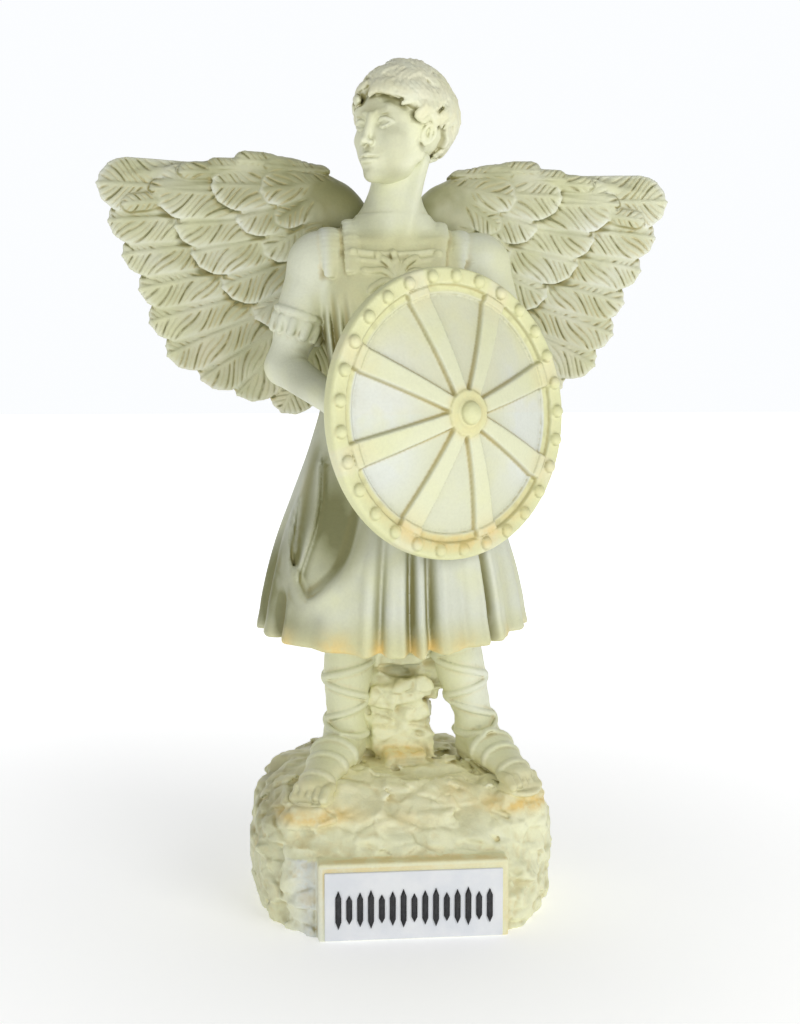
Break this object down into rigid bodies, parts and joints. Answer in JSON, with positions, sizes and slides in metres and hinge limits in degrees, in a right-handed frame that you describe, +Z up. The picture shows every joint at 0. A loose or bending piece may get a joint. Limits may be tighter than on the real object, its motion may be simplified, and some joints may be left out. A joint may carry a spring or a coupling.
{
  "type": "angel statue",
  "caption": "Small one-piece cast resin statue of a winged youth in a short tunic who holds a round shield, on a rock base with a name plate",
  "frame": {"origin": "centre of the rock base's flat underside", "axes": "+Z up, the statue's front faces -Y, +X to the viewer's right"},
  "size_m": [0.1526, 0.0767, 0.2163],
  "materials": {
    "cream_resin": "matte, antique yellow wash in the recesses",
    "plate_white": "satin"
  },
  "bodies": {
    "root": {"statue": "cream_resin", "name_plate": "plate_white"}
  },
  "joints": []
}
